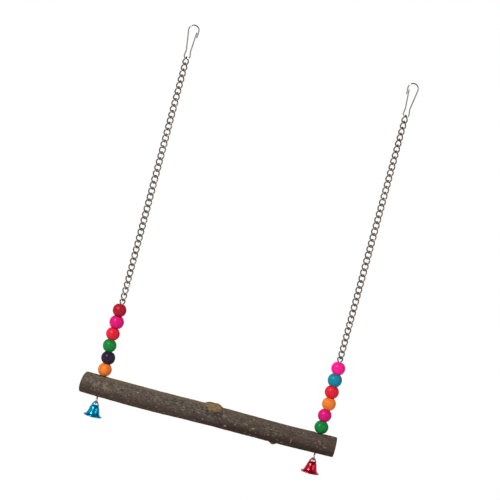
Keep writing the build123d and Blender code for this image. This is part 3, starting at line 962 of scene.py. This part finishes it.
    # Painted shade in the cracks and threads, with a dark line beside the knot; below, the knot's hollow pith
    # and the fold round the bud are painted dark as shade too
    groove_shade_and_blot = rind * (0.85 * crack + 0.45 * thread + blot)
    marks = {
        "groove_shade_and_blot": np.clip(groove_shade_and_blot + 0.7 * raw * pith + 0.5 * bud_fold, 0, 1),
        "pale": pores * rind,
        "raw": bare,
        "stain": stain,
        "weathered": np.maximum(weathered, smooth(30, 40, along)),
        "scrape": scrape,
        "lichen": lichen,
        "painted_top_light_and_tan": np.clip(painted_top_light_and_tan, 0, 1) * rind,
        "reddish_shade": reddish_shade * rind,
        "flecked": flecked * rind,
        "shaded": np.clip(shaded, 0, 1) * rind,
        "sawn": np.zeros(around.shape),
        "ring": np.ones(around.shape),
    }
    marks = {key: [value.reshape(-1)] for key, value in marks.items()}
    points = [np.stack([along, reach * level_y, PERCH_Z + reach * level_z], -1).reshape(-1, 3)]
    faces = [face[::-1] for face in grid_faces(PERCH_ROWS, PERCH_SIDES, False)]
    for side, edge_row in ((-1, 0), (1, PERCH_ROWS - 1)):
        faces += sawn_faces(side, edge_row, sum(len(some) for some in points))
        end_points, end_marks = sawn_face(side, turns, reach[edge_row])
        points.append(end_points)
        for key, values in marks.items():
            blank = np.zeros(len(end_points) - 1)
            values += [end_marks.get(key, blank), [1.0 if key == "sawn" else 0.0]]
    return (np.concatenate(points), faces), {key: np.concatenate(values) for key, values in marks.items()}


perch_parts, perch_marks = make_perch()
branch = piece("perch_branch", "perch", "perch", "bark", perch_parts, perch_marks, PERCH_CREASE)
DRILL_SIDES = 40


def drill(shown, holes, marks):
    """Cuts round holes, given as centre, radius and half length, straight down through a mesh."""
    for centre, radius, half in holes:
        profile = [(0, half), (radius, half), (radius, -half), (0, -half)]
        points, faces = lathe(profile, DRILL_SIDES, centre)
        mesh = bpy.data.meshes.new("drill")
        mesh.from_pydata((points * MM).tolist(), [], [face[::-1] for face in faces])
        for key, level in marks.items():
            layer = mesh.attributes.new(key, "FLOAT", "POINT")
            layer.data.foreach_set("value", np.full(len(points), level, np.float32))
        bit = placed("drill", mesh)
        cut = shown.modifiers.new("drill", "BOOLEAN")
        cut.operation, cut.solver, cut.object = "DIFFERENCE", "EXACT", bit
        bpy.context.view_layer.update()
        graph = bpy.context.evaluated_depsgraph_get()
        evaluated = shown.evaluated_get(graph)
        drilled = bpy.data.meshes.new_from_object(evaluated, preserve_all_data_layers=True, depsgraph=graph)
        old, shown.data = shown.data, drilled
        shown.modifiers.clear()
        bpy.data.meshes.remove(old)
        bpy.data.objects.remove(bit)
        bpy.data.meshes.remove(mesh)


drill(
    branch,
    [((side * HALF_SPACING, 0, PERCH_Z), PERCH_HOLE / 2, 2 * PERCH_RADIUS) for side in SIDES.values()],
    {key: 1.0 if key == "raw" else 0.0 for key in perch_marks},
)

# Bells: a thin flared shell with a rolled lip, its wire loop and its clapper
BELL_SIDES = 96
BELL_CREASE = 50
BELL_SLOTS = {"left": "bell_blue", "right": "bell_red"}
# Dents in the shell: how deep they go, and how far they are set in so that none stands proud
BELL_DENT = 0.1
BELL_DENT_INSET = 0.09
BELL_DRILL_HALF = 2.0
LOOP_STEP = 0.3
CLAPPER_SIDES = 40


def curve_through(points, steps=10):
    """A smooth line through points."""
    points = np.asarray(points, float)
    padded = np.concatenate([[2 * points[0] - points[1]], points, [2 * points[-1] - points[-2]]])
    line = []
    for before, start, end, after in zip(padded, padded[1:], padded[2:], padded[3:]):
        for share in np.arange(steps) / steps:
            line.append(0.5 * (
                2 * start + (end - before) * share + (2 * before - 5 * start + 4 * end - after) * share**2
                + (3 * start - before - 3 * end + after) * share**3
            ))
    return np.array(line + [points[-1]])


outer = curve_through([(BELL_RADIUS * across, BELL_HEIGHT * up) for across, up in BELL_OUTLINE])
inner = curve_through([
    (BELL_RADIUS * across - BELL_WALL * min(1, across * 2), (BELL_HEIGHT - BELL_WALL) * up)
    for across, up in BELL_OUTLINE
])
rolled_lip = arc((BELL_RADIUS - BELL_LIP, BELL_LIP), BELL_LIP, 125, -315)
bell_profile = np.concatenate([outer[::-1], rolled_lip, inner])
loop_splay = degrees(asin((LOOP_BASE_RADIUS - LOOP_TOP_RADIUS) / (LOOP_UPPER - LOOP_LOWER)))
loop_path = even(np.concatenate([
    arc((0, LOOP_UPPER), LOOP_TOP_RADIUS, loop_splay, 180 - 2 * loop_splay),
    arc((0, LOOP_LOWER), LOOP_BASE_RADIUS, 180 - loop_splay, 180 + 2 * loop_splay),
]), LOOP_STEP, True)
loop_base = LOOP_LOWER - LOOP_BASE_RADIUS
crown_x = (sqrt(LOOP_BASE_RADIUS**2 - (BELL_HEIGHT - LOOP_LOWER) ** 2) + LOOP_BASE_RADIUS) / 2
ring_foot = CLAPPER_RING_Z - CLAPPER_RING
clapper_profile = np.concatenate([
    [(0, CLAPPER_BALL_Z - CLAPPER_BALL)],
    arc((0, CLAPPER_BALL_Z), CLAPPER_BALL, -90, 165)[1:],
    [(CLAPPER_WIRE / 2, ring_foot - CLAPPER_NECK), (CLAPPER_WIRE / 2, ring_foot), (0, ring_foot)],
])
for side_name, side in SIDES.items():
    x = side * HALF_SPACING
    rim_z = PIVOT[f"{side_name}_clapper_swing"][2] - loop_base
    body = f"{side_name}_bell"
    slot = BELL_SLOTS[side_name]
    points, faces = lathe(bell_profile[::-1], BELL_SIDES, (0, 0, 0))
    dents = lattice_noise(points / (3.0, 3.0, 2.4), 30 + side) * BELL_DENT - BELL_DENT_INSET
    points[:, :2] *= (1 + dents / np.maximum(np.hypot(points[:, 0], points[:, 1]), 2.0))[:, None]
    parts = (points + (x, 0, rim_z), faces)
    shell = piece(f"{side_name}_bell_shell", body, body, slot, parts, None, BELL_CREASE)
    hole = BELL_LOOP_WIRE / 2 + BELL_LOOP_PLAY
    crowns = [(x + way * crown_x, 0, rim_z + BELL_HEIGHT) for way in (-1, 1)]
    drill(shell, [(crown, hole, BELL_DRILL_HALF) for crown in crowns], {})
    parts = tube(facing(loop_path, x, rim_z), BELL_LOOP_WIRE / 2, LOOP_SIDES, True, (0, 1, 0))
    piece(f"{body}_wire", body, f"{body}_loop", slot, parts)
    ring = arc((0, rim_z + CLAPPER_RING_Z), CLAPPER_RING, 0, 351, 9)
    ring = np.stack([np.full(len(ring), x), ring[:, 0], ring[:, 1]], -1)
    parts = join(
        lathe(clapper_profile, CLAPPER_SIDES, (x, 0, rim_z)),
        tube(ring, CLAPPER_WIRE / 2, RING_SIDES, True, (1, 0, 0)),
    )
    piece(f"{side_name}_clapper_ball", f"{side_name}_clapper", f"{side_name}_clapper", slot, parts)

# Studio, in metres: a pale floor below the swing, soft lamps, and a white surround
FLOOR_Z = -0.62
FLOOR_RADIUS = 1.5
FLOOR_SIDES = 96
# Each range takes a value between two levels over to two others
FLOOR_SEEN = (0.3, 1.4, 0.42, 1.0)
FLOOR_MIRRORED = (0.3, 1.4, 0.1, 0.55)
ROOM_SIDES = (0.1, 0.6, 0.06, 0.42)
ROOM_BACK = (0.5, 1.0, 0.0, 1.0)
ROOM_BACK_SLOPE = (0.3, 0.7, 1.0, 0.0)
ROOM_CEILING = (0.45, 0.8, 1.0, 0.06)
SKY = (-1.0, 1.0, 0.2, 0.52)
WHITE = (1, 1, 1, 1)
scene = bpy.context.scene
scene.view_settings.view_transform = "Standard"

rim = [(FLOOR_RADIUS * cos(turn), FLOOR_RADIUS * sin(turn), FLOOR_Z) for turn in full_turn(FLOOR_SIDES)]
floor_mesh = bpy.data.meshes.new("floor")
floor_mesh.from_pydata(rim, [], [tuple(range(FLOOR_SIDES))])
floor = placed("floor", floor_mesh)

# The floor fades to white away from the swing, and keeps the shadow below it
paper = Finish("floor_paper")
paper.set(Base_Color=tint(236, 236, 236), Roughness=0.9, Specular_IOR_Level=0.0)
ray = paper.add("LightPath", {}).node.outputs
off_centre = paper.add("VectorMath", {0: paper.place, 1: (0, 0, -FLOOR_Z)}, "Value", operation="DISTANCE")
straight = paper.larger(ray["Is Camera Ray"], ray["Is Transmission Ray"])
seen = paper.times(straight, paper.level(off_centre, *FLOOR_SEEN))
in_gloss = paper.times(ray["Is Glossy Ray"], paper.level(off_centre, *FLOOR_MIRRORED))
glow = paper.add("Emission", {"Color": WHITE, "Strength": paper.larger(seen, in_gloss)})
lit = paper.add("AddShader", {0: paper.shader.outputs[0], 1: glow})
shown = paper.add("MixShader", {0: ray["Is Glossy Ray"], 1: lit, 2: glow})
paper.plug(paper.tree.nodes["Material Output"].inputs["Surface"], shown)
floor_mesh.materials.append(paper.material)

# The room that metal mirrors is white behind the swing, grey at its sides, and dark round the camera
# and overhead. The camera sees plain white.
world = bpy.data.worlds.new("studio")
scene.world = world
world.use_nodes = True
world.node_tree.nodes.clear()
room = Nodes(world.node_tree)
way = room.add("SeparateXYZ", {0: room.add("TexCoord", {}, "Generated")}).node.outputs
beside = room.level(room.sum_of("ABSOLUTE", way["X"]), *ROOM_SIDES)
slope = room.level(room.sum_of("ABSOLUTE", way["Z"]), *ROOM_BACK_SLOPE)
behind = room.times(room.level(way["Y"], *ROOM_BACK), slope)
walls = room.times(room.larger(beside, behind), room.level(way["Z"], *ROOM_CEILING))
ray = room.add("LightPath", {}).node.outputs
straight = room.larger(ray["Is Camera Ray"], ray["Is Transmission Ray"])
soft = room.add("Background", {"Color": (0.98, 0.99, 1.0, 1), "Strength": room.level(way["Z"], *SKY)})
in_gloss = room.add("Background", {"Color": walls, "Strength": 1.0})
white = room.add("Background", {"Color": WHITE, "Strength": 1.0})
lit = room.add("MixShader", {0: ray["Is Glossy Ray"], 1: soft, 2: in_gloss})
shown = room.add("MixShader", {0: straight, 1: lit, 2: white})
room.add("OutputWorld", {"Surface": shown})

CENTRE = Vector((0, 0, -0.155))


def lamp(name, place, size, power, colour, glints=True):
    """A round soft lamp that faces the middle of the swing, and may be left out of what metal mirrors."""
    data = bpy.data.lights.new(name, "AREA")
    data.shape, data.size, data.energy, data.color = "DISK", size, power, colour
    made = placed(name, data)
    made.location, made.visible_glossy = place, glints
    made.rotation_mode = "QUATERNION"
    made.rotation_quaternion = (CENTRE - Vector(place)).to_track_quat("-Z", "Y")


lamp("key", (-1.0, -1.25, 0.85), 0.45, 27.0, (1.0, 0.985, 0.96))
lamp("fill", (1.35, -1.1, 0.15), 0.9, 3.5, (0.97, 0.985, 1.0))
lamp("back", (0.5, 1.5, 0.35), 0.9, 9.0, (0.98, 0.99, 1.0), glints=False)

# Camera: a little above the swing, and turned on its own axis as the photograph is
CAMERA_DISTANCE = 2.6
CAMERA_ROLL = 14.9065
CAMERA_RISE = 5.0
VIEW_WIDTH = 0.3811
SENSOR_WIDTH = 36.0
TARGET = Vector((-0.0020245, 0, -0.15401))
camera_data = bpy.data.cameras.new("camera")
camera_data.sensor_width = SENSOR_WIDTH
camera_data.lens = SENSOR_WIDTH * CAMERA_DISTANCE / VIEW_WIDTH
camera = placed("camera", camera_data)
scene.camera = camera
rise, roll = radians(CAMERA_RISE), radians(CAMERA_ROLL)
back = Vector((0, -cos(rise), sin(rise)))
level = Vector((1, 0, 0))
upward = back.cross(level)
right = level * cos(roll) + upward * sin(roll)
overhead = upward * cos(roll) - level * sin(roll)
facing_swing = Matrix((right, overhead, back)).transposed()
camera.matrix_world = Matrix.Translation(TARGET + back * CAMERA_DISTANCE) @ facing_swing.to_4x4()

bpy.context.view_layer.update()
